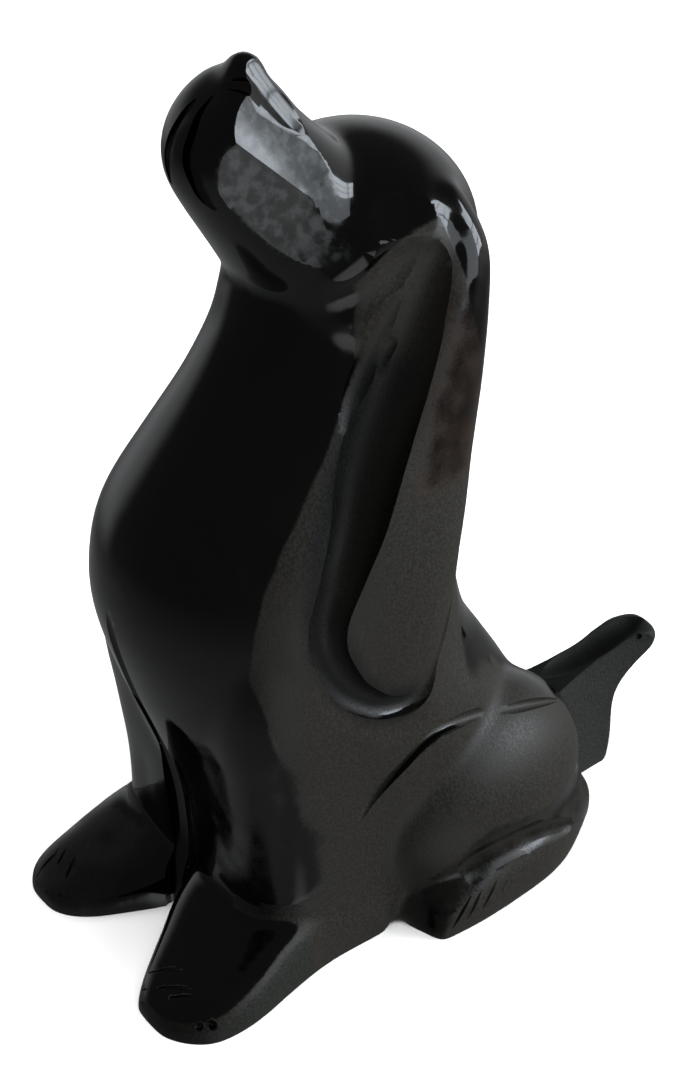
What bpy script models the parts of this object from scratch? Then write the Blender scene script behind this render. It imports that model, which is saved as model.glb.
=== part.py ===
"""A seated hound carved from one block of obsidian, its muzzle lifted and its long ears down.

Metres, +Z up. The dog faces -Y and its left side is +X. The origin is on the ground in the middle plane, below
the back of the forelegs. Places and sizes below are in hundredths of the figure's height, because the whole
carving keeps its proportions at any size.
"""

import math

import bmesh
import bpy
import numpy as np
from mathutils import Matrix, Vector

# Driving dimensions
HEIGHT = 0.120  # ground to the top of the nose
GRAIN = 0.92  # step of the carved surface, in hundredths of the height
POLISH = 9  # rounds of smoothing over the joins of the forms
KEPT = 0.17  # share of the carved triangles that the finished solid keeps

UNIT = HEIGHT / 100
LEFT, RIGHT = 1, -1
RING_POINTS = 36

# Volcanic glass, nearly black, polished where the wheel finished it
STONE = (0.016, 0.015, 0.014, 1)
STONE_ROUGHNESS = 0.12


def smooth_rows(rows, steps):
    """Rows of numbers with steps - 1 more between each two, on a Catmull-Rom curve."""
    rows = np.array(rows, float)
    ends = np.vstack([2 * rows[0] - rows[1], rows, 2 * rows[-1] - rows[-2]])
    made = []
    for a, b, c, d in zip(ends, ends[1:], ends[2:], ends[3:]):
        for t in np.arange(steps) / steps:
            bend = (2 * a - 5 * b + 4 * c - d) * t**2 + (3 * b - a - 3 * c + d) * t**3
            made.append((2 * b + (c - a) * t + bend) / 2)
    return np.array([*made, rows[-1]])


def as_object(name, bm):
    """The bmesh as an object, from hundredths of the height to metres."""
    bm.transform(Matrix.Scale(UNIT, 4))
    mesh = bpy.data.meshes.new(name)
    bm.to_mesh(mesh)
    bm.free()
    obj = bpy.data.objects.new(name, mesh)
    bpy.context.scene.collection.objects.link(obj)
    return obj


def oval(bm, centre, across, along, half_across, half_along, square):
    """A row of points round an oval, an ellipse where square is 2 and boxier above it."""
    points = []
    for k in range(RING_POINTS):
        turn = 2 * math.pi * k / RING_POINTS
        c, s = math.cos(turn), math.sin(turn)
        u = math.copysign(abs(c) ** (2 / square), c) * half_across
        v = math.copysign(abs(s) ** (2 / square), s) * half_along
        points.append(bm.verts.new(centre + across * u + along * v))
    return points


def loft(name, rows, line=None, across=(1, 0, 0), steps=4, square=2.2):
    """A closed form through ovals: each row is x, y, z, half the width across and half the depth.

    The ovals stand square to the given line, or else to the line through their centres.
    """
    rows = smooth_rows(rows, steps)
    centres = [Vector(row[:3]) for row in rows]
    bm = bmesh.new()
    rings = []
    for k, row in enumerate(rows):
        run = Vector(line) if line else centres[min(k + 1, len(rows) - 1)] - centres[max(k - 1, 0)]
        run.normalize()
        side = Vector(across)
        side = (side - run * side.dot(run)).normalized()
        rings.append(oval(bm, centres[k], side, run.cross(side), row[3], row[4], square))
    for low, high in zip(rings, rings[1:]):
        for k in range(RING_POINTS):
            n = (k + 1) % RING_POINTS
            bm.faces.new((low[k], low[n], high[n], high[k]))
    bm.faces.new(reversed(rings[0]))
    bm.faces.new(rings[-1])
    return as_object(name, bm)


def ball(name, centre, radii, turn=Matrix.Identity(3)):
    """An ellipsoid on its own turned axes."""
    bm = bmesh.new()
    bmesh.ops.create_uvsphere(bm, u_segments=40, v_segments=20, radius=1)
    bm.transform(Matrix.Translation(centre) @ turn.to_4x4() @ Matrix.Diagonal((*radii, 1)))
    return as_object(name, bm)


def box(name, centre, halves, turn=Matrix.Identity(3)):
    """A block on its own turned axes."""
    bm = bmesh.new()
    bmesh.ops.create_cube(bm, size=2)
    bm.transform(Matrix.Translation(centre) @ turn.to_4x4() @ Matrix.Diagonal((*halves, 1)))
    return as_object(name, bm)


def wheel(name, path):
    """A groove as a wheel leaves it: each row of the path is x, y, z and the cut's radius."""
    return loft(name, [(*row, row[-1]) for row in path], across=(0.3, 0.2, 0.9), square=2)


# The head looks up. Its own axes run left, forward along the muzzle, and up from the jaw to the bridge
SKULL = Vector((0, 6.6, 76.4))
HEAD_LIFT = math.radians(52)
HEAD_TURN = Matrix.Rotation(-HEAD_LIFT, 3, "X")


def in_head(left, forward, up):
    """A place given from the middle of the skull along the head's own axes."""
    return SKULL + HEAD_TURN @ Vector((left, -forward, up))


def trunk():
    """Chest, belly, neck and back in one form, from the ground to the nape."""
    rows = [  # height, front, back, half the width
        (0, -13, 30, 16.5),
        (8, -14, 31, 17),
        (14, -15, 29, 17),
        (20, -16.5, 26.2, 17),
        (26, -18.6, 22.5, 17),
        (32, -20.8, 18.9, 17),
        (40, -23, 16.8, 17.2),
        (46, -23.2, 17.2, 16.8),
        (52, -21.8, 18, 15.6),
        (59, -17, 18.3, 13),
        (65, -12.4, 18.2, 11),
        (71, -8.6, 17.8, 10),
        (76, -7, 16.6, 9.4),
        (80, -4, 15, 8),
    ]
    rows = [(0, (front + back) / 2, z, half, (back - front) / 2) for z, front, back, half in rows]
    return loft("trunk", rows, line=(0, 0, 1), steps=3, square=2.1)


def head():
    """Skull, muzzle and the nub of the nose."""
    rows = [  # forward, up, half the width, half the depth
        (2, -1.5, 9, 9),
        (8, -1.8, 9, 8.6),
        (13, -2, 8, 7.8),
        (18, -2, 7, 7.2),
        (21.6, -1.6, 6.5, 6.9),
        (24, -1.1, 5.6, 6),
        (25.6, -0.6, 4.2, 4.4),
        (26.2, -0.4, 2.6, 2.8),
    ]
    rows = [(*in_head(0, forward, up), half, deep) for forward, up, half, deep in rows]
    muzzle = loft("muzzle", rows, line=HEAD_TURN @ Vector((0, -1, 0)), steps=5)
    nose = ball("nose", in_head(0.7, 25.2, 3.8), (2.2, 2.1, 2), HEAD_TURN)
    return [ball("skull", SKULL + Vector((0, 0.2, 1.2)), (12.6, 13.2, 11.7)), muzzle, nose]


def ear(side):
    """A long lobe, narrow at the skull and wide at the shoulder."""
    rows = [  # height, front edge, back edge, outer face, thickness
        (84, 10, 14, 9.5, 4),
        (79, 9.6, 15.6, 12.8, 5),
        (74, 7.4, 15.4, 14, 5.5),
        (67, 3.7, 14.4, 15, 6),
        (61, 0.3, 13, 15.8, 6),
        (55, -4, 11.6, 16.8, 6),
        (48, -6.2, 10, 17.6, 6),
        (41, -6, 9.2, 17.8, 6),
        (36, -3.8, 8.4, 17.6, 5.6),
        (33, -1, 6.8, 17, 4.6),
        (31.4, 1.5, 4.8, 16.4, 2.5),
    ]
    rows = [
        (side * (face - thick / 2), (front + back) / 2, z, (back - front) / 2, thick / 2)
        for z, front, back, face, thick in rows
    ]
    return loft("ear", rows, across=(0, 1, 0))


def leg(side):
    """A foreleg, from the chest down to the paw, and its shin."""
    rows = [
        (side * 5.5, -3, 54, 4, 8),
        (side * 7, -5.4, 44, 7.4, 11.4),
        (side * 8, -5.4, 34, 8.6, 12.6),
        (side * 8, -4.6, 24, 8.4, 12.2),
        (side * 8, -3.6, 14, 8.4, 12),
        (side * 8, -3.4, 0, 8.6, 12),
    ]
    shin = [  # squares the inner corner between the legs
        (side * 3.6, -7.6, 40, 3, 8),
        (side * 4.2, -8.2, 30, 4.8, 8.2),
        (side * 4.4, -8, 22, 5, 8.4),
        (side * 4.4, -7.4, 12, 5, 8.4),
        (side * 4.4, -7, 0, 5, 8.4),
    ]
    return [loft("leg", rows, square=3.2), loft("shin", shin, square=4)]


def paw(side):
    """A flat-topped wedge. The left foot is turned out."""
    square = {LEFT: 4.5, RIGHT: 4}[side]
    rows = {  # y, inner edge, outer edge, height over the ground
        LEFT: [
            (0, 2, 16.9, 8.2),
            (-8, -0.4, 17.2, 8.4),
            (-14, -0.6, 18.5, 7.3),
            (-18.5, 1.4, 19.8, 5.7),
            (-22, 4.2, 20.4, 4.5),
            (-25.5, 7, 20.2, 3.4),
            (-28, 9.2, 18.4, 2.5),
            (-29.6, 11, 16, 1.6),
        ],
        RIGHT: [
            (0, 2, 17, 7),
            (-8, 1, 17, 7.8),
            (-14, 0.5, 17.2, 7),
            (-18, 1, 17, 5.7),
            (-22, 2.6, 16.3, 4.5),
            (-25.5, 4.2, 15.5, 3.5),
            (-27.8, 6, 14.3, 2.6),
            (-29, 8, 12.2, 1.6),
        ],
    }[side]
    rows = [(side * (inner + outer) / 2, y, 0, (outer - inner) / 2, high) for y, inner, outer, high in rows]
    return loft("paw", rows, line=(0, -1, 0), square=square)


def hindquarter(side):
    """Thigh and hind foot."""
    splay = Matrix.Rotation(math.radians(6 * side), 3, "Z")
    thigh = ball("thigh", (side * 10.4, 14.9, 10), (10.2, 16.5, 13.4), splay)
    foot = loft("hind_foot", [
        (side * 19.6, 2.6, 0.8, 2.8, 2.4),
        (side * 18, 8, 1.4, 4.4, 4.4),
        (side * 16.4, 14, 2, 5.4, 6),
        (side * 14.4, 21, 2.6, 6, 7),
        (side * 9.8, 28.2, 3, 6.2, 6.4),
    ])
    return [thigh, foot]


def tail():
    """A blade that leaves the rump as a keel on the ground and rises to its tip."""
    rows = [  # x, y, top, bottom, half the width
        (0.5, 26, 10.6, -5, 8),
        (0.8, 31, 10.6, -5, 7.6),
        (1.1, 35.2, 11.2, -5, 7.8),
        (1.5, 38.6, 11.9, -5, 7.2),
        (1.7, 40.8, 12.5, -4, 5.8),
        (2, 42.4, 13, 5.6, 4.8),
        (2.3, 46, 13.8, 9, 3.6),
        (2.6, 49.4, 14, 10.4, 2.9),
        (2.7, 50.6, 13.8, 11.4, 2.1),
    ]
    rows = [(x, y, (top + bottom) / 2, half, (top - bottom) / 2) for x, y, top, bottom, half in rows]
    return loft("tail", rows, line=(0, 1, 0), square=3)


def nape():
    """The back of the neck, which fills the space between the ears."""
    return ball("nape", (0, 9.2, 68), (11.6, 9.4, 17))


def forms():
    """Everything that is joined before the wheel cuts it."""
    made = [trunk(), nape(), *head(), tail()]
    for side in (LEFT, RIGHT):
        made += [ear(side), *leg(side), paw(side), *hindquarter(side)]
    return made


def facing(out, along):
    """Axes with X pointing out of a plane and Y along it."""
    x = Vector(out).normalized()
    y = Vector(along)
    y = (y - x * y.dot(x)).normalized()
    return Matrix((x, y, x.cross(y))).transposed()


def muzzle_cut(side):
    """The two shallow flats that the wheel leaves on the side of the muzzle, low on the cheek and by the bridge."""
    low = Vector((side * 0.948, -0.313, 0.06)).normalized()
    high = Vector((side * 0.916, 0.068, 0.396)).normalized()
    low_centre = Vector((side * 6.45, -7.3, 86.4)) + low * 7.7
    high_centre = Vector((side * 5.5, -4.2, 92.2)) + high * 7.8
    return [
        ball("cheek_flat", low_centre, (8, 24, 20), facing(low, (side * 0.21, 0.48, -0.85))),
        ball("muzzle_flat", high_centre, (8, 24, 16), facing(high, (-side * 0.21, -0.75, 0.63))),
    ]


def bridge_cut(side):
    """The narrow flat along the edge of the bridge."""
    out = Vector((side * 0.82, 0.24, 0.52)).normalized()
    centre = Vector((side * 4, -4.4, 95.7)) + out * 17.5
    return [ball("bridge_cut", centre, (18, 24, 12), facing(out, (side * 0.27, 0.5, -0.82)))]


def lip_cut(side):
    """A slot from under the nose down the front of the lips, the two parting below."""
    rows = {  # left, forward, up, radius
        LEFT: [
            (0.9, 26.7, 0.9, 0.5),
            (1.1, 26.6, -0.8, 0.8),
            (1.6, 26.1, -4, 0.95),
            (2.7, 23.8, -7.2, 0.95),
            (3.2, 21.2, -9, 0.8),
            (3.6, 18.6, -10.4, 0.4),
        ],
        RIGHT: [
            (-0.6, 26.9, -0.6, 0.5),
            (-0.6, 26.7, -2.2, 0.8),
            (-0.5, 25.4, -5.5, 0.95),
            (-0.5, 22.6, -8.9, 0.9),
            (-0.6, 19.4, -10.6, 0.4),
        ],
    }[side]
    return [wheel("lip_cut", [(*in_head(*place), radius) for *place, radius in rows])]


def throat_cut(side):
    """The undercut that runs from the throat below the cheek and up into the arch over the ear."""
    return [wheel("throat_cut", [
        (side * 4, -13.6, 78.5, 3.4),
        (side * 8.5, -10, 76.4, 4.4),
        (side * 12, -5.6, 75.6, 5),
        (side * 14.4, 0, 76.8, 5),
        (side * 15, 4.4, 79.6, 4.9),
        (side * 14.6, 7.4, 82.2, 3.9),
        (side * 13.6, 9, 83.8, 2),
    ])]


def ear_ramp(side):
    """The soft slope from the chest and the shoulder down to the edge of the ear."""
    return [wheel("ear_ramp", [
        (side * 18.4, -3.5, 62, 4),
        (side * 19.6, -6.6, 56, 4.8),
        (side * 20.8, -8.6, 49, 5.4),
        (side * 21.3, -8.9, 42, 5.4),
        (side * 21.4, -6.6, 35.4, 5.2),
        (side * 21.4, -1.6, 29.6, 5),
        (side * 21.2, 4.4, 28.2, 4.8),
        (side * 20.8, 9.4, 30.4, 4.4),
    ])]


def ear_cut(side):
    """The cove that frees the ear, wide at the temple, then narrow round the lobe."""
    return [wheel("ear_cut", [
        (side * 14, 8.4, 83.4, 2),
        (side * 14.2, 7.6, 80.2, 3.2),
        (side * 14.8, 4.4, 73.8, 4.1),
        (side * 14.4, 1.6, 67, 3.9),
        (side * 14.6, -1, 60.8, 3.6),
        (side * 15.6, -3.6, 54, 2.9),
        (side * 16.6, -6.1, 49, 2.5),
        (side * 17, -8, 43, 2.3),
        (side * 17.1, -6.2, 37, 2.1),
        (side * 17.1, -2.6, 32.8, 1.8),
        (side * 17, 0.6, 31, 1.6),
        (side * 16.9, 4.2, 31, 1.5),
        (side * 16.9, 6.4, 34.4, 1.3),
        (side * 17, 7.6, 38.4, 1.1),
    ])]


def shoulder_cut(side):
    """The hollow that runs from the ear down beside the chest."""
    return [wheel("shoulder_cut", [
        (side * 13.4, -1.6, 65.6, 2.4),
        (side * 14.6, -3.8, 63.4, 3.5),
        (side * 15, -8, 61, 3.8),
        (side * 15.2, -12.6, 57.1, 4),
        (side * 15.3, -16, 53.3, 3.9),
        (side * 15.2, -18.4, 49.4, 3.4),
    ])]


def belly_cut(side):
    """The hollow between the belly and the hind foot."""
    return [ball("belly_cut", (side * 21.2, 1.4, 5.4), (4.6, 3.2, 6))]


def haunch_cut(side):
    """The line over the thigh and the polished band along the hind foot."""
    line = wheel("thigh_line", [
        (side * 17.4, -5, 15.6, 0.5),
        (side * 17, -2.1, 19.5, 1.1),
        (side * 17, 1.6, 22.7, 1.2),
        (side * 17, 5.6, 24.8, 1.3),
        (side * 16.1, 12.1, 23.7, 1.3),
        (side * 15.5, 19.4, 21.4, 1.2),
        (side * 14.2, 25.4, 18.8, 0.7),
    ])
    band = wheel("foot_band", [
        (side * 22, 4, 5.2, 1.6),
        (side * 22.4, 7.6, 7, 2.8),
        (side * 22.9, 13.3, 7.8, 3),
        (side * 21.8, 19.4, 7.1, 2.4),
        (side * 20.3, 24.6, 5.1, 1.6),
    ])
    return [line, band]


def tail_cut(side):
    """The dished side of the tail, thinnest halfway to the tip."""
    out = Vector((side * 0.96, 0.04, 0.27))
    edge = {LEFT: 5.3, RIGHT: -0.8}[side]
    centre = Vector((edge, 38.6, 8)) + out * 5
    return [ball("tail_cut", centre, (5, 15, 17), facing(out, (0, 1, 0.2)))]


def tail_channel():
    """The hollow along the top of the tail."""
    return wheel("tail_channel", [
        (1.4, 31, 12.4, 1.2),
        (1.9, 36, 13, 2.2),
        (2.2, 40, 13.6, 2.5),
        (2.5, 44, 14.5, 2.4),
        (2.7, 47.6, 15, 1.9),
        (2.8, 49.4, 15.2, 1.3),
    ])


def chest_cut():
    """The line between the forelegs."""
    return wheel("chest_cut", [
        (-0.8, -24.2, 43, 1),
        (-1, -23.2, 39, 1.2),
        (-1.3, -21.3, 32, 1.4),
        (-1.6, -18.8, 26, 1.7),
        (-1.8, -16.8, 19, 1.9),
        (-1.5, -15.9, 12.6, 2),
        (-1.1, -16.1, 7.5, 1.8),
        (-0.3, -17.2, 2.5, 1.3),
        (0, -17.6, -3, 1.2),
    ])


def ground():
    """Everything under the figure's flat underside."""
    return box("ground", (0, 10, -20), (60, 80, 20))


def joined(objects):
    """The objects as one, which takes the place and name of the first."""
    with bpy.context.temp_override(active_object=objects[0], selected_editable_objects=objects):
        bpy.ops.object.join()
    return objects[0]


def pairs(*cuts):
    """Both sides of each cut as one object."""
    return [joined(list(both)) for cut in cuts for both in zip(cut(LEFT), cut(RIGHT))]


def carve(dog, cutters):
    """Takes the cutters off the solid with live modifiers."""
    for cutter in cutters:
        cut = dog.modifiers.new(cutter.name, "BOOLEAN")
        cut.object = cutter
        cutter.hide_render = True
        cutter.display_type = "WIRE"


def remesh(dog, name):
    """One closed skin over the joined forms, of even grain."""
    skin = dog.modifiers.new(name, "REMESH")
    skin.mode = "VOXEL"
    skin.voxel_size = GRAIN * UNIT


def obsidian():
    """The stone's plain material."""
    stone = bpy.data.materials.new("obsidian")
    stone.use_nodes = True
    shader = stone.node_tree.nodes["Principled BSDF"]
    shader.inputs["Base Color"].default_value = STONE
    shader.inputs["Roughness"].default_value = STONE_ROUGHNESS
    shader.inputs["Metallic"].default_value = 0
    return stone


def file_away(objects, name):
    """Moves the objects to a collection of their own."""
    group = bpy.data.collections.new(name)
    bpy.context.scene.collection.children.link(group)
    for obj in objects:
        bpy.context.scene.collection.objects.unlink(obj)
        group.objects.link(obj)


def main():
    for obj in list(bpy.data.objects):
        bpy.data.objects.remove(obj)
    dog = joined(forms())
    dog.name = "dog_figurine"
    dog.data.name = "dog_figurine"
    dog.data.materials.append(obsidian())
    remesh(dog, "one_skin")
    carve(dog, pairs(throat_cut, ear_ramp, belly_cut))
    remesh(dog, "even_grain")
    soften = dog.modifiers.new("polish", "SMOOTH")
    soften.iterations = POLISH
    carve(dog, [chest_cut(), tail_channel()])
    carve(dog, pairs(bridge_cut, muzzle_cut, lip_cut, ear_cut, shoulder_cut, haunch_cut, tail_cut))
    thin = dog.modifiers.new("thin", "DECIMATE")
    thin.ratio = KEPT
    carve(dog, [ground()])
    cutters = [obj for obj in bpy.context.scene.collection.objects if obj is not dog]
    file_away([dog], "obsidian dog figurine")
    file_away(cutters, "wheel cuts")


if __name__ == "__main__":
    main()
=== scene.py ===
"""A seated hound carved from one block of black obsidian, muzzle lifted and long ears down.

Metres, +Z up. The dog faces -Y, and its left side is +X. Rows of places are in hundredths of the height.
"""

import math

import bpy
import numpy as np
from mathutils import Matrix, Vector


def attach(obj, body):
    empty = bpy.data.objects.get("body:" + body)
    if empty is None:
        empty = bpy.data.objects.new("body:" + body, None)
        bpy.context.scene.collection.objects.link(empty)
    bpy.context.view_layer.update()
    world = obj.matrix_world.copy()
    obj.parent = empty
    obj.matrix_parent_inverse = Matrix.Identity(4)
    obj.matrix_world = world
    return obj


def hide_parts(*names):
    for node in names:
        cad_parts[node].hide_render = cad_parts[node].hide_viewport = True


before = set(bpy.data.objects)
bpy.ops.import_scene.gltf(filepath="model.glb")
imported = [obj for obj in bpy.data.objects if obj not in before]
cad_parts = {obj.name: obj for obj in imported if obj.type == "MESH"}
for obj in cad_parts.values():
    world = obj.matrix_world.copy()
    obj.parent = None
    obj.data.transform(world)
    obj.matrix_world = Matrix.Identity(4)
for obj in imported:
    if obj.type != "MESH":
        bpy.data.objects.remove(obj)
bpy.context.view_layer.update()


# The body
# The figure is one block of volcanic glass, sawn to size and ground to shape on wheels. Chest, belly, neck
# and back are its biggest form, widest at the haunches and narrow at the nape.
PART = 0.0012  # metres in a hundredth of the figure's height
RING = 56  # points in each oval of a drawn form


def between(rows, steps):
    """The rows with steps - 1 more between each two, so that a form swells evenly."""
    rows = np.array(rows, float)
    ends = np.vstack([2 * rows[0] - rows[1], rows, 2 * rows[-1] - rows[-2]])
    made = []
    for a, b, c, d in zip(ends, ends[1:], ends[2:], ends[3:]):
        for t in np.arange(steps) / steps:
            bend = (2 * a - 5 * b + 4 * c - d) * t**2 + (3 * b - a - 3 * c + d) * t**3
            made.append((2 * b + (c - a) * t + bend) / 2)
    return np.array([*made, rows[-1]])


def only(piece):
    """Selects the piece alone."""
    bpy.ops.object.select_all(action="DESELECT")
    piece.select_set(True)
    bpy.context.view_layer.objects.active = piece


def closed(piece):
    """Fills the piece's open ends and turns its faces outwards."""
    only(piece)
    bpy.ops.object.mode_set(mode="EDIT")
    bpy.ops.mesh.select_all(action="SELECT")
    bpy.ops.mesh.remove_doubles(threshold=1e-7)
    bpy.ops.mesh.fill_holes(sides=0)
    bpy.ops.mesh.select_all(action="SELECT")
    bpy.ops.mesh.normals_make_consistent(inside=False)
    bpy.ops.object.mode_set(mode="OBJECT")


def drawn(name, rows, line=None, across=(1, 0, 0), square=2.2, steps=4):
    """A form drawn through ovals of x, y, z, half the width and half the depth, boxier as square rises."""
    rows = between(rows, steps)
    middles = [Vector(row[:3]) for row in rows]
    bpy.ops.object.select_all(action="DESELECT")
    bpy.ops.mesh.primitive_circle_add(vertices=RING, radius=1, location=(0, 0, 0))
    form = bpy.context.object
    form.name = name
    bpy.ops.object.mode_set(mode="EDIT")
    for _ in rows[1:]:
        bpy.ops.mesh.primitive_circle_add(vertices=RING, radius=1, location=(0, 0, 0))
    bpy.ops.object.mode_set(mode="OBJECT")
    for k, row in enumerate(rows):
        run = Vector(line) if line else middles[min(k + 1, len(rows) - 1)] - middles[max(k - 1, 0)]
        run.normalize()
        side = Vector(across)
        side = (side - run * side.dot(run)).normalized()
        for point in form.data.vertices[RING * k:RING * k + RING]:
            u = math.copysign(abs(point.co.x) ** (2 / square), point.co.x) * row[3]
            v = math.copysign(abs(point.co.y) ** (2 / square), point.co.y) * row[4]
            point.co = (middles[k] + side * u + run.cross(side) * v) * PART
    bpy.ops.object.mode_set(mode="EDIT")
    bpy.ops.mesh.select_all(action="SELECT")
    bpy.ops.mesh.bridge_edge_loops()
    bpy.ops.object.mode_set(mode="OBJECT")
    closed(form)
    return form


def ball(name, middle, radii, turn=Matrix.Identity(3)):
    """A rounded form on its own turned axes."""
    bpy.ops.object.select_all(action="DESELECT")
    bpy.ops.mesh.primitive_uv_sphere_add(segments=96, ring_count=48, radius=PART)
    form = bpy.context.object
    form.name = name
    place = Matrix.Translation(Vector(middle) * PART)
    form.matrix_world = place @ turn.to_4x4() @ Matrix.Diagonal((*radii, 1))
    bpy.ops.object.transform_apply()
    return form


trunk_rows = [  # height, front, back, half the width
    (0, -13, 30, 16.5), (8, -14, 31, 17), (14, -15, 29, 17), (20, -16.5, 26.2, 17), (26, -18.6, 22.5, 17),
    (32, -20.8, 18.9, 17), (40, -23, 16.8, 17.2), (46, -23.2, 17.2, 16.8), (52, -21.8, 18, 15.6),
    (59, -17, 18.3, 13), (65, -12.4, 18.2, 11), (71, -8.6, 17.8, 10), (76, -7, 16.6, 9.4), (80, -4, 15, 8),
]
trunk_rows = [(0, (front + back) / 2, z, half, (back - front) / 2) for z, front, back, half in trunk_rows]
dog = drawn("dog", trunk_rows, line=(0, 0, 1), square=2.1, steps=3)
forms = [ball("nape", (0, 9.2, 68), (11.6, 9.4, 17))]


# The head
# Skull and muzzle are left in the same block and look up at 52 degrees. The muzzle narrows to a small nub
# of a nose, which the carver only blunted.
SKULL = Vector((0, 6.6, 76.4))
HEAD_TURN = Matrix.Rotation(math.radians(-52), 3, "X")


def in_head(left, forward, up):
    """A place given from the middle of the skull, along the muzzle and up to the bridge."""
    return SKULL + HEAD_TURN @ Vector((left, -forward, up))


muzzle_rows = [  # forward, up, half the width, half the depth
    (2, -1.5, 9, 9), (8, -1.8, 9, 8.6), (13, -2, 8, 7.8), (18, -2, 7, 7.2), (21.6, -1.6, 6.5, 6.9),
    (24, -1.1, 5.6, 6), (25.6, -0.6, 4.2, 4.4), (26.2, -0.4, 2.6, 2.8),
]
muzzle_rows = [(*in_head(0, forward, up), half, deep) for forward, up, half, deep in muzzle_rows]
forms += [
    drawn("muzzle", muzzle_rows, line=HEAD_TURN @ Vector((0, -1, 0)), steps=5),
    ball("skull", SKULL + Vector((0, 0.2, 1.2)), (12.6, 13.2, 11.7)),
    ball("nose", in_head(0.7, 25.2, 3.8), (2.2, 2.1, 2), HEAD_TURN),
]


# The ears
# Each ear is a long lobe of the same stone, narrow at the skull and wide at the shoulder, and stands proud
# of the neck by the depth of one wheel.
def mirrored(form):
    """The form and its mirror image on the dog's right side."""
    only(form)
    bpy.ops.object.duplicate()
    twin = bpy.context.object
    twin.scale.x = -1
    bpy.ops.object.transform_apply()
    closed(twin)
    return [form, twin]


ear_rows = [  # height, front edge, back edge, outer face, thickness
    (84, 10, 14, 9.5, 4), (79, 9.6, 15.6, 12.8, 5), (74, 7.4, 15.4, 14, 5.5), (67, 3.7, 14.4, 15, 6),
    (61, 0.3, 13, 15.8, 6), (55, -4, 11.6, 16.8, 6), (48, -6.2, 10, 17.6, 6), (41, -6, 9.2, 17.8, 6),
    (36, -3.8, 8.4, 17.6, 5.6), (33, -1, 6.8, 17, 4.6), (31.4, 1.5, 4.8, 16.4, 2.5),
]
ear_rows = [
    (face - thick / 2, (front + back) / 2, z, (back - front) / 2, thick / 2)
    for z, front, back, face, thick in ear_rows
]
forms += mirrored(drawn("ear", ear_rows, across=(0, 1, 0)))


# The forelegs and the forefeet
# The legs are two straight posts against the chest. The left foot is turned out and rounded, the right one
# is a squarer wedge that points ahead.
leg_rows = [
    (5.5, -3, 54, 4, 8), (7, -5.4, 44, 7.4, 11.4), (8, -5.4, 34, 8.6, 12.6), (8, -4.6, 24, 8.4, 12.2),
    (8, -3.6, 14, 8.4, 12), (8, -3.4, 0, 8.6, 12),
]
shin_rows = [  # these square the inner corner between the legs
    (3.6, -7.6, 40, 3, 8), (4.2, -8.2, 30, 4.8, 8.2), (4.4, -8, 22, 5, 8.4), (4.4, -7.4, 12, 5, 8.4),
    (4.4, -7, 0, 5, 8.4),
]
forms += mirrored(drawn("leg", leg_rows, square=3.2)) + mirrored(drawn("shin", shin_rows, square=4))


def paw(name, side, square, rows):
    """A forefoot from rows of y, inner edge, outer edge and height over the ground."""
    rows = [(side * (inner + outer) / 2, y, 0, (outer - inner) / 2, high) for y, inner, outer, high in rows]
    return drawn(name, rows, line=(0, -1, 0), square=square)


forms += [
    paw("left_paw", 1, 4.5, [
        (0, 2, 16.9, 8.2), (-8, -0.4, 17.2, 8.4), (-14, -0.6, 18.5, 7.3), (-18.5, 1.4, 19.8, 5.7),
        (-22, 4.2, 20.4, 4.5), (-25.5, 7, 20.2, 3.4), (-28, 9.2, 18.4, 2.5), (-29.6, 11, 16, 1.6),
    ]),
    paw("right_paw", -1, 4, [
        (0, 2, 17, 7), (-8, 1, 17, 7.8), (-14, 0.5, 17.2, 7), (-18, 1, 17, 5.7),
        (-22, 2.6, 16.3, 4.5), (-25.5, 4.2, 15.5, 3.5), (-27.8, 6, 14.3, 2.6), (-29, 8, 12.2, 1.6),
    ]),
]


# The haunches and the hind feet
# The thigh is a full round form, and the hind foot lies along the ground below it.
thigh = ball("thigh", (10.4, 14.9, 10), (10.2, 16.5, 13.4), Matrix.Rotation(math.radians(6), 3, "Z"))
hind_foot = drawn("hind_foot", [
    (19.6, 2.6, 0.8, 2.8, 2.4), (18, 8, 1.4, 4.4, 4.4), (16.4, 14, 2, 5.4, 6), (14.4, 21, 2.6, 6, 7),
    (9.8, 28.2, 3, 6.2, 6.4),
])
forms += mirrored(thigh) + mirrored(hind_foot)


# The tail
# A blade that leaves the rump as a keel on the ground and rises to a blunt tip behind.
tail_rows = [  # x, y, top, bottom, half the width
    (0.5, 26, 10.6, -5, 8), (0.8, 31, 10.6, -5, 7.6), (1.1, 35.2, 11.2, -5, 7.8),
    (1.5, 38.6, 11.9, -5, 7.2), (1.7, 40.8, 12.5, -4, 5.8), (2, 42.4, 13, 5.6, 4.8),
    (2.3, 46, 13.8, 9, 3.6), (2.6, 49.1, 14, 10.4, 2.9), (2.7, 50.2, 13.8, 11.4, 2.1),
]
tail_rows = [(x, y, (top + bottom) / 2, half, (top - bottom) / 2) for x, y, top, bottom, half in tail_rows]
forms.append(drawn("tail", tail_rows, line=(0, 1, 0), square=3))


# The first polish
# The carver grinds the forms into one another, sinks the hollows over the ear, round its edge and beside
# the belly with a broad wheel, and takes the whole skin down with finer and finer grit.
FIRST_GRAIN = 0.0005  # metres, the step of the skin as the forms are ground together
GRAIN = 0.00054  # metres, the step of the skin that is polished
PASSES = 36  # how often the polish goes over the skin


def shaped(piece, kind, name, **settings):
    """Puts a modifier on the piece and applies it."""
    only(piece)
    change = piece.modifiers.new(name, kind)
    for setting, value in settings.items():
        setattr(change, setting, value)
    bpy.ops.object.modifier_apply(modifier=name)


def joined(pieces):
    """Makes the pieces one, under the name of the first."""
    bpy.ops.object.select_all(action="DESELECT")
    for piece in pieces:
        piece.select_set(True)
    bpy.context.view_layer.objects.active = pieces[0]
    bpy.ops.object.join()


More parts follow.
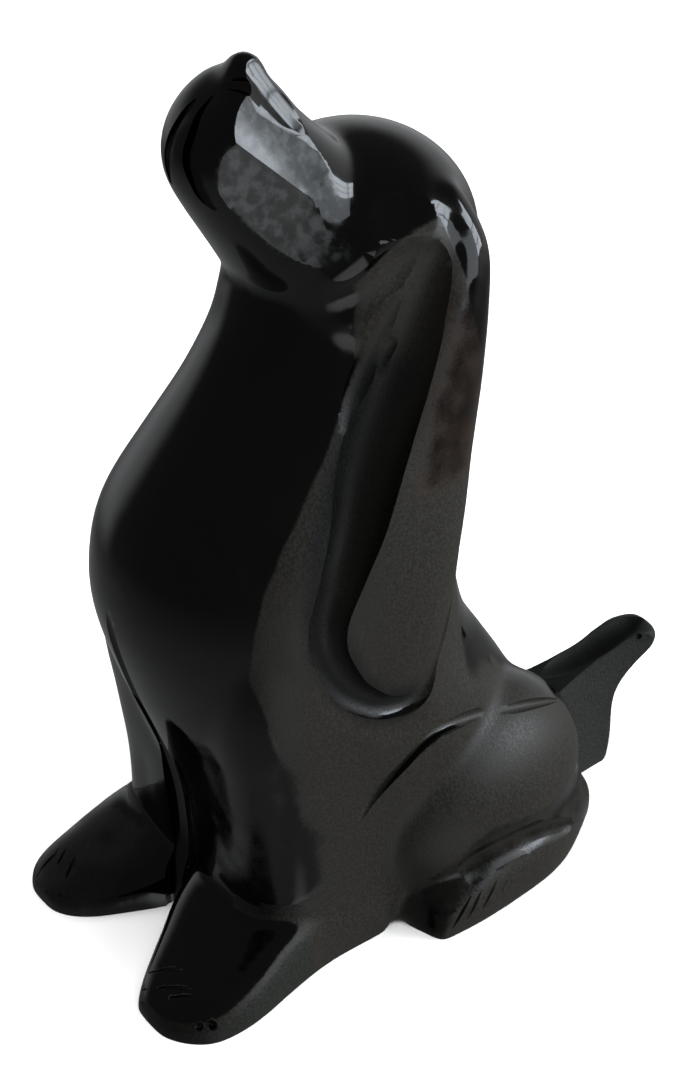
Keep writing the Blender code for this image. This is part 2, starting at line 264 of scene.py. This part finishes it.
def wheel(name, path):
    """A groove as a wheel leaves it: each place of the path is x, y, z and the cut's radius."""
    bpy.ops.object.select_all(action="DESELECT")
    bpy.ops.curve.primitive_bezier_curve_add(location=(0, 0, 0))
    groove = bpy.context.object
    groove.name = name
    groove.data.bevel_depth = PART
    groove.data.bevel_resolution = 8
    groove.data.use_fill_caps = True
    spline = groove.data.splines[0]
    spline.resolution_u = 8
    spline.radius_interpolation = "CARDINAL"
    spline.bezier_points.add(len(path) - 2)
    for point, (x, y, z, radius) in zip(spline.bezier_points, path):
        point.handle_left_type = point.handle_right_type = "AUTO"
        point.co = Vector((x, y, z)) * PART
        point.radius = radius
    bpy.ops.object.convert(target="MESH")
    closed(groove)
    return groove


def carved(piece, cuts):
    """Takes each cut off the piece and clears it away."""
    for cut in cuts:
        shaped(piece, "BOOLEAN", cut.name, object=cut, solver="MANIFOLD")
        bpy.data.objects.remove(cut)


throat_cuts = mirrored(wheel("throat_cut", [
    (4, -13.6, 78.5, 3.4), (8.5, -10, 76.4, 4.4), (12, -5.6, 75.6, 5), (14.4, 0, 76.8, 5),
    (15, 4.4, 79.6, 4.9), (14.6, 7.4, 82.2, 3.9), (13.6, 9, 83.8, 2),
]))
ear_ramps = mirrored(wheel("ear_ramp", [
    (18.4, -3.5, 62, 4), (19.6, -6.6, 56, 4.8), (20.8, -8.6, 49, 5.4), (21.3, -8.9, 42, 5.4),
    (21.4, -6.6, 35.4, 5.2), (21.4, -1.6, 29.6, 5), (21.2, 4.4, 28.2, 4.8), (20.8, 9.4, 30.4, 4.4),
]))
belly_cuts = mirrored(ball("belly_cut", (21.2, 1.4, 5.4), (4.6, 3.2, 6)))
joined([dog, *forms])
shaped(dog, "REMESH", "one_skin", mode="VOXEL", voxel_size=FIRST_GRAIN)
carved(dog, throat_cuts + ear_ramps + belly_cuts)
shaped(dog, "REMESH", "even_grain", mode="VOXEL", voxel_size=GRAIN)
shaped(dog, "SMOOTH", "polish", iterations=PASSES)


# The wheel cuts
# Crisp grooves and flats over the polished skin: the flats on the side of the muzzle, the cove round the
# ear, the line over the thigh, the band on the hind foot, the channel in the chest and the dished tail.
def facing(out, along):
    """Axes with X pointing out of a plane and Y along it."""
    x = Vector(out).normalized()
    y = Vector(along)
    y = (y - x * y.dot(x)).normalized()
    return Matrix((x, y, x.cross(y))).transposed()


def flats(name, place, out, away, radii, along):
    """A shallow flat at the place and its mirror image, off a ball whose middle lies away from the skin."""
    return mirrored(ball(name, Vector(place) + out * away, radii, facing(out, along)))


cheek_out = Vector((0.948, -0.313, 0.06)).normalized()
muzzle_out = Vector((0.916, 0.068, 0.396)).normalized()
bridge_out = Vector((0.82, 0.24, 0.52)).normalized()
cheek_cuts = flats("cheek_cut", (6.45, -7.3, 86.4), cheek_out, 7.7, (8, 24, 20), (0.21, 0.48, -0.85))
muzzle_cuts = flats("muzzle_cut", (5.5, -4.2, 92.2), muzzle_out, 7.8, (8, 24, 16), (-0.21, -0.75, 0.63))
bridge_cuts = flats("bridge_cut", (4, -4.4, 95.7), bridge_out, 17.5, (18, 24, 12), (0.27, 0.5, -0.82))
ear_cuts = mirrored(wheel("ear_cut", [
    (14, 8.4, 83.4, 2), (14.2, 7.6, 80.2, 3.2), (14.8, 4.4, 73.8, 4.1), (14.4, 1.6, 67, 3.9),
    (14.6, -1, 60.8, 3.6), (15.6, -3.6, 54, 2.9), (16.6, -6.1, 49, 2.5), (17, -8, 43, 2.3),
    (17.1, -6.2, 37, 2.1), (17.1, -2.6, 32.8, 1.8), (17, 0.6, 31, 1.6), (16.9, 4.2, 31, 1.5),
    (16.9, 6.4, 34.4, 1.3), (17, 7.6, 38.4, 1.1), (17.1, 8.8, 42.6, 0.8),
]))
cove_cuts = mirrored(wheel("cove_cut", [
    (13.6, 6.6, 80, 2.2), (13.2, 3, 74, 3), (12.4, 0.6, 69, 2.8), (12.6, -1.6, 65, 2.2),
    (13.8, -4.4, 60, 1),
]))
shoulder_cuts = mirrored(wheel("shoulder_cut", [
    (13.4, -1.6, 65.6, 2.4), (14.6, -3.8, 63.4, 3.5), (15, -8, 61, 3.8), (15.2, -12.6, 57.1, 4),
    (15.3, -16, 53.3, 3.9), (15.2, -18.4, 49.4, 3.4),
]))
thigh_cuts = mirrored(wheel("thigh_line", [
    (17, -5, 15.6, 0.3), (16.6, -2.1, 19.5, 0.7), (16.6, 1.6, 22.7, 0.8), (16.6, 5.6, 24.8, 0.85),
    (15.8, 12.1, 23.9, 0.85), (15, 19.4, 21.6, 0.8), (14, 24.4, 19.4, 0.5), (13, 27.6, 17.6, 0.15),
]))
foot_cuts = mirrored(wheel("foot_band", [
    (22, 4, 5.2, 1.6), (22.4, 7.6, 7, 2.8), (22.9, 13.3, 7.8, 3), (21.8, 19.4, 7.1, 2.4),
    (20.3, 24.6, 5.1, 1.6), (19.4, 27.4, 3.9, 0.9),
]))
lens_out = Vector((-0.3, -0.94, -0.1)).normalized()
lens_cuts = flats("lens_cut", (1.5, -16.6, 17.4), lens_out, 2, (2.8, 7, 2.3), (0.1, 0, 1))
tail_cuts = []
for hand, edge in ((1, 5.3), (-1, -0.8)):
    tail_out = Vector((hand * 0.96, 0.04, 0.27))
    middle = Vector((edge, 38.6, 8)) + tail_out * 5
    tail_cuts.append(ball("tail_cut", middle, (5, 15, 17), facing(tail_out, (0, 1, 0.2))))
tail_channel = wheel("tail_channel", [
    (1.4, 31, 12.4, 1.2), (1.9, 36, 13, 2.2), (2.2, 40, 13.6, 2.5), (2.5, 44, 14.5, 2.4),
    (2.7, 47.6, 15, 1.9), (2.8, 49.4, 15.2, 1.3),
])
chest_cut = wheel("chest_cut", [
    (-0.8, -24.2, 43, 1), (-1, -23.2, 39, 1.1), (-1.3, -21.3, 32, 1.3), (-1.6, -18.8, 26, 1.5),
    (-1.8, -16.8, 19, 1.7), (-1.5, -15.9, 12.6, 1.8), (-1.1, -16.1, 7.5, 1.7), (-0.3, -17.2, 2.5, 1.2),
    (0, -17.6, -3, 1.1),
])
carved(dog, [chest_cut, tail_channel, *bridge_cuts, *cheek_cuts, *muzzle_cuts])
carved(dog, ear_cuts + cove_cuts + shoulder_cuts + thigh_cuts + foot_cuts + lens_cuts + tail_cuts)


# The lips
# Two slots from under the nose down the front of the lips and a notch for the nostril, cut with the edge of
# a thin wheel after the polish.
lip_cuts = [
    wheel("right_lip", [
        (-0.8, -10.4, 96.3, 0.2), (-0.8, -11, 95.8, 0.45), (-1, -12.3, 94, 0.6), (-1.3, -13.4, 91.8, 0.65),
        (-1.3, -13.5, 90.2, 0.6), (-1.2, -13.2, 88.4, 0.3),
    ]),
    wheel("left_lip", [
        (0.9, -9.6, 97, 0.2), (0.9, -10.8, 95.6, 0.5), (1.5, -12, 94, 0.75), (1.9, -12.9, 91.9, 0.85),
        (2.8, -13, 90.2, 0.85), (3.4, -12.6, 88.5, 0.7), (4, -11.8, 87.2, 0.3),
    ]),
    wheel("nostril", [
        (0.6, -9.2, 97.9, 0.15), (1.7, -8.5, 98.2, 0.5), (2.9, -7.6, 98.3, 0.8), (4.2, -6.9, 98.2, 0.9),
    ]),
]
carved(dog, lip_cuts)


# The toes
# Straight scratches of a coarse point for the claws, a fine crack in the thigh and small chips where an
# edge broke.
def claw(start, end):
    """A scratch between two places, widest half-way."""
    middle = (Vector(start) + Vector(end)) / 2 + Vector((0, 0, 0.1))
    return wheel("claw", [(*start, 0.12), (*middle, 0.24), (*end, 0.1)])


claws = [
    claw((9.2, -26.8, 2.5), (13.6, -22.7, 4.75)), claw((10.3, -28.5, 1.8), (15.9, -24.1, 4.1)),
    claw((11.4, -29.4, 1.2), (16.7, -24.5, 3.9)), claw((-12.9, -24.4, 4), (-12, -28.6, 1.7)),
    claw((-12.6, -23.7, 4.2), (-9.2, -28.9, 1.4)), claw((-11.1, -23.1, 4.5), (-7.2, -28.4, 1.8)),
    claw((22.2, 4.6, 1.2), (21.4, 8, 4)), claw((22.4, 6.4, 1.2), (21.5, 9.6, 4.4)),
    claw((22.4, 8.4, 1.4), (21.4, 12, 4.8)), claw((22.4, 10.6, 1.6), (21.4, 14.4, 5)),
]
nicks = [
    wheel("crack", [(17.1, 3.7, 17.1, 0.05), (19.2, 7.8, 15.9, 0.14), (20.3, 14.2, 14.4, 0.06)]),
    ball("chip", (19.6, -25.4, 2.3), (0.7, 0.5, 0.5)), ball("chip", (18.9, -26.6, 2.2), (0.4, 0.5, 0.4)),
    ball("chip", (4.9, 44.6, 12.6), (0.35, 0.5, 0.35)), ball("chip", (4.6, 47, 13.2), (0.35, 0.5, 0.35)),
]
carved(dog, claws + nicks)


# The underside
# The figure stands on a flat that was ground last, on the soles and the keel under the tail. The whole is
# then drawn in by a breath, so that no polished surface stands outside the solid's box.
KEPT = (0.998, 0.998, 0.999)  # share of the width, length and height that is kept

bpy.ops.object.select_all(action="DESELECT")
bpy.ops.mesh.primitive_cube_add(size=0.2, location=(0, 0, -0.1))
ground = bpy.context.object
ground.name = "ground"
bpy.ops.object.transform_apply()
carved(dog, [ground])
only(dog)
bpy.ops.object.mode_set(mode="EDIT")
bpy.ops.mesh.select_all(action="SELECT")
bpy.ops.transform.resize(value=KEPT, center_override=(0, 0, 0))
bpy.ops.object.mode_set(mode="OBJECT")
bpy.ops.object.shade_smooth_by_angle(angle=math.radians(35))


# The finish
# Black glass takes a mirror polish where the felt wheel reached it. In the grooves it stays satin and olive
# brown, and the ground flanks of the forefeet and the tail stay rough and greenish grey.
def painted(name, marks):
    """Keeps the marks on the dog as an attribute that its stone reads."""
    dog.data.attributes.new(name, "FLOAT", "POINT").data.foreach_set("value", marks)


def away(points, line):
    """How far each point of the side view is from the line, in hundredths."""
    line = np.array(line, float)
    far = np.full(len(points), 1e9)
    for a, b in zip(line, line[1:]):
        t = np.clip(((points - a) @ (b - a)) / ((b - a) @ (b - a)), 0, 1)
        far = np.minimum(far, np.linalg.norm(points - a - t[:, None] * (b - a), axis=1))
    return far


def within(points, outline):
    """How far each point lies inside the closed outline, below 0 outside."""
    outline = np.array([*outline, outline[0]], float)
    odd = np.zeros(len(points), bool)
    for a, b in zip(outline, outline[1:]):
        crosses = (a[1] > points[:, 1]) != (b[1] > points[:, 1])
        with np.errstate(divide="ignore", invalid="ignore"):
            odd ^= crosses & (points[:, 0] < (b - a)[0] * (points[:, 1] - a[1]) / (b - a)[1] + a[0])
    return away(points, outline) * np.where(odd, 1, -1)


def eased(value, low, high):
    """0 below low and 1 above high, with a soft step between."""
    t = np.clip((value - low) / (high - low), 0, 1)
    return t * t * (3 - 2 * t)


spots = np.array([point.co for point in dog.data.vertices]) / PART
faces = np.array([normal.vector for normal in dog.data.vertex_normals])
side = spots[:, 1:]  # places in the side view, where y runs back and z up
left, back, high = spots.T
ahead, out, up = -back, np.abs(left), faces[:, 2]

flank = [
    (0.3, 69), (-2.4, 64.2), (-4.6, 61.2), (-7.6, 57.7), (-11.2, 53.4), (-13.8, 49.4), (-15, 45.7),
    (-15.8, 39.9), (-14.8, 35.6), (-13.8, 31.6), (-12.6, 28.3), (-10.8, 22.4), (-9.4, 17.6),
    (-8.6, 13.6), (-9, 10.8), (-10.4, 9.6), (-13, 8.6), (-30, 5), (-30, -1), (3, -1), (4, 6), (11, 12),
    (9, 20), (17, 22.8), (22, 21.4), (21, 25), (13, 28), (12.6, 33), (13.5, 38), (16, 50), (16, 62),
    (12.4, 70), (10.6, 79), (9.6, 83), (5, 82), (0, 78),
]
thigh_side = [(4, 9), (2, 16), (8, 23), (13, 25), (20, 23), (28, 17), (30, 10), (20, 10), (12, 11.4)]
instep = [(2, 2), (2, 9), (12, 12), (20, 11), (30, 11), (31, 3), (20, 5), (9, 4)]
toes = [(3, -1), (4, 2.5), (9, 4.3), (14.5, 5.6), (20, 5.2), (27, 3.6), (31, -1)]
blur = 0.4 + 2.2 * eased(-high, -36, -26) * eased(high, 9, 12)  # the flank's edge fades on the foreleg
satin = np.max([
    eased(within(side, flank) / blur, -1, 1) * eased(out, 9, 10) * eased(-up, -0.8, -0.62),
    0.6 * eased(-left, 2, 5) * eased(ahead, 14, 18) * (high < 12),  # the right forefoot
    0.46 * eased(left, 5, 7) * eased(ahead, 11, 14) * eased(high, 7, 10) * eased(-high, -36, -24),
    eased(within(side, thigh_side), -1, 1) * eased(out, 6, 9),
    0.45 * eased(within(side, instep), -0.5, 0.5) * eased(out, 12, 14),
    eased(within(side, toes), -0.3, 0.3) * eased(out, 13, 15),
], axis=0)
tan = [(9.5, 76.1), (14.5, 75.2), (15, 66.2), (10.4, 56.3), (3.6, 56.3), (4.5, 61.2), (7.4, 68.8)]
tan = eased(within(side, tan), -2.2, 2.2) * eased(out, 11, 12.5)
painted("satin", satin * (1 - 0.55 * tan))
painted("tan", tan)

foot_flank = eased(ahead, 9, 13) * (out > 13) * eased(-up, -0.55, -0.35) * (high < 9)
painted("rough", np.maximum(eased(back, 30, 33), foot_flank))

# Painted shadow: a dark band in the groove along the front edge of each ear, where the ear shades it, and a
# darker top on the tail's hollow.
undercut = [
    (3, 68), (1.6, 65.8), (-2.9, 59.3), (-6.2, 53.1), (-8.3, 47), (-7.9, 42.2), (-5.2, 36), (-2, 32.4),
    (2, 31),
]
below_ear = eased(-away(side, undercut), -3.4, -1) * eased(out, 8, 10)
tail_top = 0.75 * eased(back, 31, 34) * eased(up, 0.2, 0.5)
painted("shade", np.maximum(below_ear, tail_top))

# Painted reflection: the muzzle and cheek flats on the left side are lightened to a pale bluish grey like
# the window they face, and the same marks also dull their polish a little.
haze_and_painted_glare = np.max([eased(faces @ np.array(flat), 0.96, 0.985) for flat in (cheek_out, muzzle_out)], axis=0)
painted("haze_and_painted_glare", haze_and_painted_glare * eased(high, 80, 82) * eased(left, 3, 4) * eased(ahead, -0.5, 0.8))

stone = bpy.data.materials.new("obsidian")
stone.use_nodes = True
tree = stone.node_tree
shader = tree.nodes["Principled BSDF"]
shader.inputs["IOR"].default_value = 1.5


def node(kind, **settings):
    """A node of the stone, with its inputs and settings."""
    made = tree.nodes.new(kind)
    for setting, value in settings.items():
        if setting in made.inputs:
            made.inputs[setting].default_value = value
        else:
            setattr(made, setting, value)
    return made


def link(source, into):
    """Wires one node's output into another's input."""
    tree.links.new(source, into)


place = node("ShaderNodeTexCoord")


def noise(scale, detail):
    """Cloudy noise through the stone, so many clouds to the metre."""
    made = node("ShaderNodeTexNoise", Scale=scale, Detail=detail)
    link(place.outputs["Object"], made.inputs["Vector"])
    return made.outputs["Fac"]


def ramp(value, low, high, start=0.0, end=1.0):
    """The value spread from low..high to start..end."""
    made = node("ShaderNodeMapRange", interpolation_type="SMOOTHSTEP")
    for name, number in (("From Min", low), ("From Max", high), ("To Min", start), ("To Max", end)):
        made.inputs[name].default_value = number
    link(value, made.inputs["Value"])
    return made.outputs["Result"]


def sums(operation, a, b):
    """Arithmetic on two values, each a number or a node's output."""
    made = node("ShaderNodeMath", operation=operation)
    for k, value in enumerate((a, b)):
        if isinstance(value, (int, float)):
            made.inputs[k].default_value = value
        else:
            link(value, made.inputs[k])
    return made.outputs[0]


def mixed(share, a, b):
    """Colour a, or b where the share is 1."""
    made = node("ShaderNodeMix", data_type="RGBA")
    for k, value in ((6, a), (7, b)):
        if isinstance(value, tuple):
            made.inputs[k].default_value = value
        else:
            link(value, made.inputs[k])
    link(share, made.inputs[0])
    return made.outputs[2]


def attribute(name):
    """Marks that were painted on the dog."""
    return node("ShaderNodeAttribute", attribute_name=name).outputs["Fac"]


def blotched(name, unevenness):
    """The attribute with its edges broken up by blotches."""
    uneven = sums("MULTIPLY", sums("SUBTRACT", blotch, 0.5), unevenness)
    return ramp(sums("ADD", attribute(name), uneven), 0.2, 0.8)


def blend(share, a, b):
    """Value a, or b where the share is 1."""
    return sums("ADD", sums("MULTIPLY", a, sums("SUBTRACT", 1.0, share)), sums("MULTIPLY", b, share))


blotch = noise(260, 5)
grain = noise(2600, 3)
satin = blotched("satin", 0.7)
rough = blotched("rough", 0.9)
shade = attribute("shade")
painted_glare = sums("MULTIPLY", attribute("haze_and_painted_glare"), ramp(noise(700, 6), 0.4, 0.65))

black = mixed(ramp(noise(90, 3), 0.35, 0.75), (0.0012, 0.0010, 0.0009, 1), (0.0032, 0.0026, 0.0020, 1))
# Painted reflection: a pale bluish grey over the left muzzle and cheek flats.
black = mixed(painted_glare, black, (0.060, 0.068, 0.070, 1))
olive = mixed(ramp(grain, 0.35, 0.7), (0.0190, 0.0172, 0.0135, 1), (0.0330, 0.0300, 0.0240, 1))
olive = mixed(attribute("tan"), olive, (0.0330, 0.0190, 0.0120, 1))
# The painted shadow turns the olive and the grey nearly black in the groove by the ear and on the tail's
# hollow.
olive = mixed(sums("MULTIPLY", shade, 0.9), olive, (0.001, 0.001, 0.001, 1))
grey = mixed(ramp(grain, 0.3, 0.75), (0.011, 0.0125, 0.010, 1), (0.027, 0.029, 0.024, 1))
grey = mixed(sums("MULTIPLY", shade, 0.8), grey, (0.002, 0.0022, 0.0018, 1))
link(mixed(rough, mixed(satin, black, olive), grey), shader.inputs["Base Color"])

polish = sums("ADD", ramp(noise(500, 6), 0.3, 0.8, 0.05, 0.13), sums("MULTIPLY", attribute("haze_and_painted_glare"), 0.06))
roughness = blend(satin, polish, ramp(grain, 0.3, 0.7, 0.4, 0.56))
link(blend(rough, roughness, 0.62), shader.inputs["Roughness"])
pits = sums("MULTIPLY", grain, sums("ADD", sums("MULTIPLY", satin, 0.5), rough))
bump = node("ShaderNodeBump", Strength=0.5, Distance=0.00012)
link(pits, bump.inputs["Height"])
link(bump.outputs["Normal"], shader.inputs["Normal"])
dog.data.materials.clear()
dog.data.materials.append(stone)
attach(dog, "root")
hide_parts("dog_figurine")


# The table
# A plain white sheet under the figure. The camera alone sees it, so the black stone doesn't mirror it, and
# the stone's own room stands in for its light.
bpy.ops.object.select_all(action="DESELECT")
bpy.ops.mesh.primitive_plane_add(size=4, location=(0, 0, 0))
floor = bpy.context.object
floor.name = "floor"
paper = bpy.data.materials.new("white_paper")
paper.use_nodes = True
paper.node_tree.nodes["Principled BSDF"].inputs["Base Color"].default_value = (0.86, 0.86, 0.86, 1)
paper.node_tree.nodes["Principled BSDF"].inputs["Roughness"].default_value = 0.9
floor.data.materials.append(paper)
floor.visible_glossy = floor.visible_diffuse = False


# The light and the camera
# A dim room. A broad lamp lights the paper alone and a low soft one the satin stone, and the polish mirrors
# a paned window behind the crown, a bright pane beside the muzzle and the pale walls.
VIEW = (54, 34)  # azimuth and elevation of the camera


def toward(azimuth, elevation):
    """The direction of a place round the figure."""
    a, e = math.radians(azimuth), math.radians(elevation)
    return Vector((math.sin(a) * math.cos(e), -math.cos(a) * math.cos(e), math.sin(e)))


def lamp(name, azimuth, elevation, away, aim, width, height, watts, colour=(1, 1, 1)):
    """A flat lamp, aimed at a place on the figure."""
    where = Vector(aim) + toward(azimuth, elevation) * away
    bpy.ops.object.light_add(type="AREA", location=where)
    made = bpy.context.object
    made.name = name
    made.rotation_euler = (where - Vector(aim)).to_track_quat("Z", "Y").to_euler()
    made.data.shape = "RECTANGLE"
    made.data.size, made.data.size_y = width, height
    made.data.energy = watts
    made.data.color = colour
    return made


over = lamp("over", 0, 89, 1.1, (0, 0, 0), 1.6, 1.6, 30)
paper_only = bpy.data.collections.new("paper_only")
paper_only.objects.link(floor)
over.light_linking.receiver_collection = paper_only
daylight = lamp("daylight", 140, 13, 0.9, (0, 0, 0.06), 0.6, 0.5, 4.6, (1, 0.96, 0.9))
daylight.visible_glossy = False
lamp("side_window", 123, 4, 0.3, (0.006, -0.008, 0.106), 0.13, 0.16, 0.13, (0.86, 0.93, 1))
for row in range(3):
    for column in range(3):
        lamp(
            "window_%d_%d" % (row, column), 138 + 7.5 * column, 4 + 9.5 * row, 0.5, (0.012, 0.008, 0.1),
            0.057, 0.074, 0.11, (0.84, 0.92, 1))

world = bpy.data.worlds.new("room")
world.use_nodes = True
tree = world.node_tree
heading = tree.nodes.new("ShaderNodeSeparateXYZ")
way = node("ShaderNodeTexCoord").outputs["Generated"]
link(way, heading.inputs[0])
east, north, above = heading.outputs

# Walls that are pale at the figure's level and only behind it
level = ramp(sums("ABSOLUTE", sums("SUBTRACT", above, 0.08), 0), 0.12, 0.5, 0.54, 0.0)
behind = sums("SUBTRACT", sums("MULTIPLY", north, 0.8), sums("MULTIPLY", east, 0.6))
walls = sums("MULTIPLY", level, ramp(behind, -0.05, 0.27))

# The table as the stone mirrors it, with one bright sheet on it by the left side
table = ramp(above, -0.65, -0.2, 0.12, 0.0)
sheet = node("ShaderNodeVectorMath", operation="DOT_PRODUCT")
link(way, sheet.inputs[0])
sheet.inputs[1].default_value = toward(88, -27)
sheet = ramp(sheet.outputs["Value"], 0.955, 0.984, 0.0, 0.85)

room = sums("ADD", sums("ADD", sums("ADD", walls, table), 0.085), sheet)
link(room, tree.nodes["Background"].inputs["Strength"])
tree.nodes["Background"].inputs["Color"].default_value = (0.96, 0.98, 1, 1)
bpy.context.scene.world = world
bpy.context.scene.view_settings.view_transform = "Standard"

aim = Vector((0.00944, 0, 0.0564))
bpy.ops.object.camera_add(location=aim + toward(*VIEW) * 0.3083)
camera = bpy.context.object
camera.name = "camera"
camera.rotation_euler = toward(*VIEW).to_track_quat("Z", "Y").to_euler()
camera.data.sensor_width = 36
camera.data.lens = 82
bpy.context.scene.camera = camera
